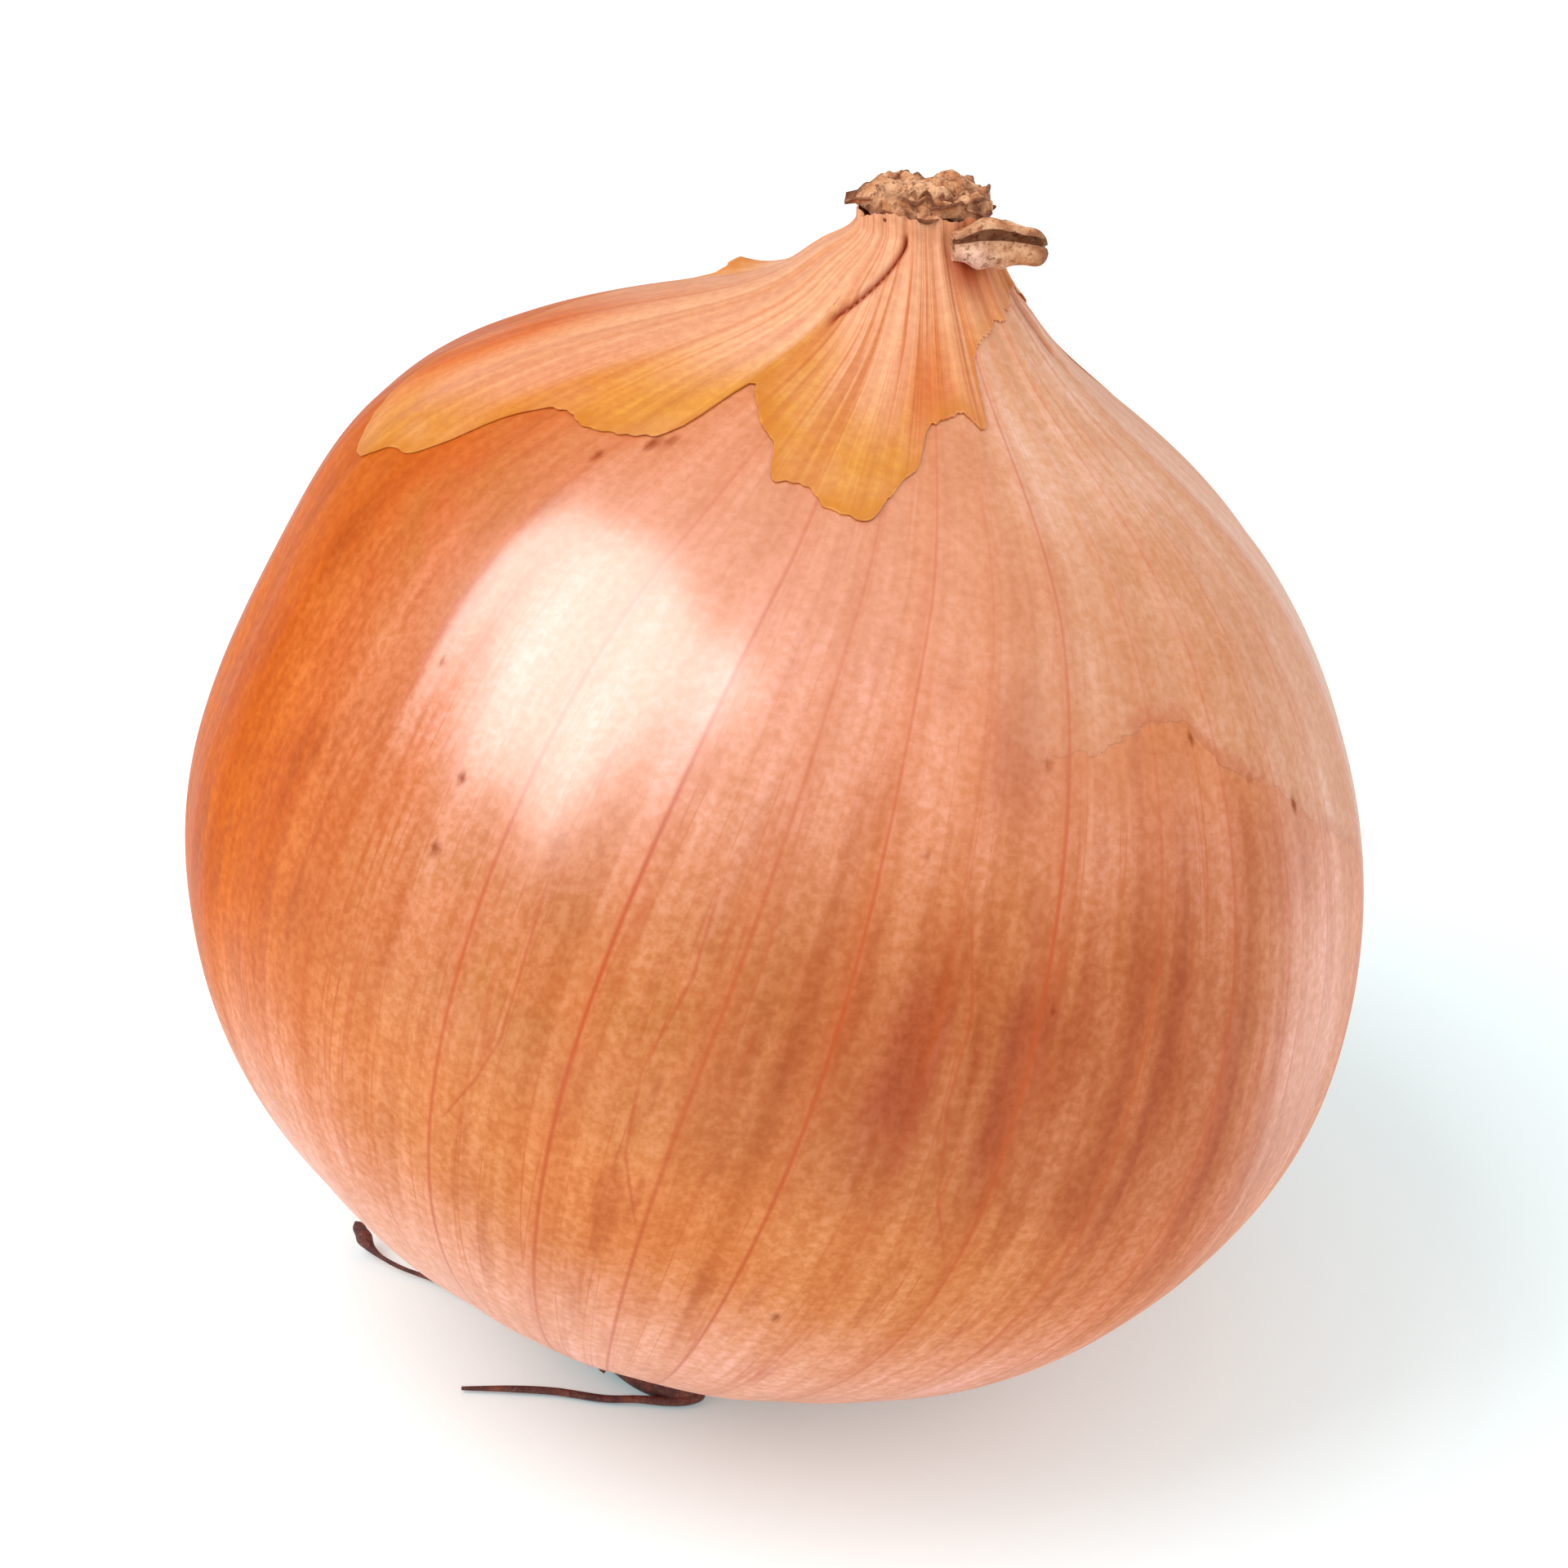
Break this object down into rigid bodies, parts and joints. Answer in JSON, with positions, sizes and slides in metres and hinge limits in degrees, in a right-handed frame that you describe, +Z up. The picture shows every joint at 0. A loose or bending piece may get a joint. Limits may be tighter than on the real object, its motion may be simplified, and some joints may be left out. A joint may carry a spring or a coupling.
{
  "type": "onion",
  "caption": "Brown-skinned onion bulb at rest on a small flat spot, with dried neck, torn outer skin round the shoulders and a tuft of dried roots.",
  "frame": {"origin": "middle of the small flat spot that the onion rests on", "axes": "+Z straight up from the surface; +X to the right and +Y away, seen from the side that the picture shows; the neck leans away from +Z towards +X and +Y"},
  "size_m": [0.0798, 0.0797, 0.0834],
  "materials": {
    "bulb_skin": "dry papery skin, satin gloss, orange to pinkish tan with thin brown veins from root to neck",
    "torn_skin": "thin golden dry skin with a torn, scalloped edge, satin",
    "dry_leaf_ends": "shrivelled tan dry leaf, matt, dark brown edges",
    "dried_roots": "dried dark red-brown root, matt"
  },
  "bodies": {
    "root": {"bulb": "bulb_skin", "torn_skin": "torn_skin", "dry_neck": "dry_leaf_ends", "root_tuft": "dried_roots"}
  },
  "joints": []
}
